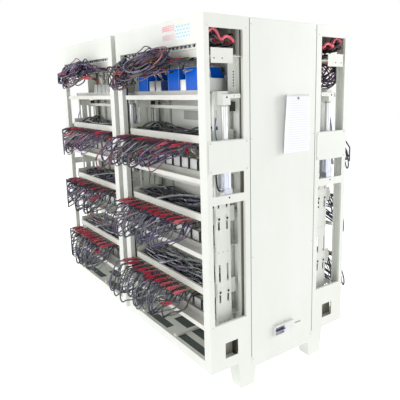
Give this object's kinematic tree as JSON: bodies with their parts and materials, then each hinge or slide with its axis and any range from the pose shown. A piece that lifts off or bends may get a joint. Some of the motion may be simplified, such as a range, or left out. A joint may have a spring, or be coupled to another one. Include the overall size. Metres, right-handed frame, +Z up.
{
  "type": "battery formation rack",
  "caption": "Double-sided battery formation and grading rack: two steel cabinets with lifting cell shelves, cable trays, hanging test leads and tapered feet.",
  "frame": {"origin": "on the floor, under the middle of the two cabinets", "axes": "+Z up, -Y towards the front racks, +X towards the right end"},
  "size_m": [1.9484, 1.184, 1.86],
  "materials": {
    "rack_paint": "off-white powder coat, fine texture",
    "core_paint": "off-white powder coat, satin",
    "shelf_paint": "off-white powder coat, worn edges",
    "cylinder_alloy": "clear anodised, satin",
    "bright_rod": "hard chrome",
    "cell_can": "drawn can, brushed",
    "cell_blue": "blue shrink film",
    "lead_jacket": "soft silicone jacket",
    "clip_red": "moulded red handle",
    "clip_black": "moulded black handle",
    "clip_brass": "bare contact",
    "module_metal": "plated sheet",
    "breaker_white": "moulded housing",
    "breaker_blue": "moulded lever",
    "paper_white": "plain sheet",
    "label_film": "printed film",
    "screw_steel": "zinc plated"
  },
  "bodies": {
    "root": {"front_left_rack_frame": "rack_paint", "front_left_lift_cylinders": "cylinder_alloy", "front_left_cable_ladder": "shelf_paint", "front_left_test_leads": "lead_jacket", "back_left_rack_frame": "rack_paint", "back_left_lift_cylinders": "cylinder_alloy", "back_left_cable_ladder": "shelf_paint", "back_left_test_leads": "lead_jacket", "front_right_rack_frame": "rack_paint", "front_right_lift_cylinders": "cylinder_alloy", "front_right_cable_ladder": "shelf_paint", "front_right_test_leads": "lead_jacket", "back_right_rack_frame": "rack_paint", "back_right_lift_cylinders": "cylinder_alloy", "back_right_cable_ladder": "shelf_paint", "back_right_test_leads": "lead_jacket", "left_core_shell": "core_paint", "left_core_end_panel": "core_paint", "left_power_modules": "module_metal", "left_base_frame": "core_paint", "left_breaker_body": "breaker_white", "right_core_shell": "core_paint", "right_core_end_panel": "core_paint", "right_power_modules": "module_metal", "right_base_frame": "core_paint", "right_breaker_body": "breaker_white"},
    "front_left_lift": {"front_left_cell_shelf_1": "shelf_paint", "front_left_cells_1": "cell_can", "front_left_cell_shelf_2": "shelf_paint", "front_left_cells_2": "cell_can", "front_left_cell_shelf_3": "shelf_paint", "front_left_cells_3": "cell_can", "front_left_cell_shelf_4": "shelf_paint", "front_left_cells_4": "cell_can", "front_left_lift_frame": "rack_paint", "front_left_lift_rods": "bright_rod"},
    "back_left_lift": {"back_left_cell_shelf_1": "shelf_paint", "back_left_cell_shelf_2": "shelf_paint", "back_left_cell_shelf_3": "shelf_paint", "back_left_cell_shelf_4": "shelf_paint", "back_left_lift_frame": "rack_paint", "back_left_lift_rods": "bright_rod"},
    "front_right_lift": {"front_right_cell_shelf_1": "shelf_paint", "front_right_cells_1": "cell_can", "front_right_cell_shelf_2": "shelf_paint", "front_right_cells_2": "cell_can", "front_right_cell_shelf_3": "shelf_paint", "front_right_cells_3": "cell_can", "front_right_cell_shelf_4": "shelf_paint", "front_right_cells_4": "cell_can", "front_right_lift_frame": "rack_paint", "front_right_lift_rods": "bright_rod"},
    "back_right_lift": {"back_right_cell_shelf_1": "shelf_paint", "back_right_cell_shelf_2": "shelf_paint", "back_right_cell_shelf_3": "shelf_paint", "back_right_cell_shelf_4": "shelf_paint", "back_right_lift_frame": "rack_paint", "back_right_lift_rods": "bright_rod"},
    "left_toggle": {"left_breaker_toggle": "breaker_blue"},
    "right_toggle": {"right_breaker_toggle": "breaker_blue"}
  },
  "joints": [
    {"name": "front_left_lift_slide", "type": "slide", "parent": "root", "child": "front_left_lift", "axis": [0, 0, 1], "range_m": [0, 0.025]},
    {"name": "back_left_lift_slide", "type": "slide", "parent": "root", "child": "back_left_lift", "axis": [0, 0, 1], "range_m": [0, 0.025]},
    {"name": "front_right_lift_slide", "type": "slide", "parent": "root", "child": "front_right_lift", "axis": [0, 0, 1], "range_m": [0, 0.025]},
    {"name": "back_right_lift_slide", "type": "slide", "parent": "root", "child": "back_right_lift", "axis": [0, 0, 1], "range_m": [0, 0.025]},
    {"name": "left_toggle_hinge", "type": "hinge", "parent": "root", "child": "left_toggle", "pos_m": [-0.955, -0.039, 0.2505], "axis": [0, -1, 0], "range_deg": [0, 50]},
    {"name": "right_toggle_hinge", "type": "hinge", "parent": "root", "child": "right_toggle", "pos_m": [0.955, -0.039, 0.2505], "axis": [0, 1, 0], "range_deg": [0, 50]}
  ]
}
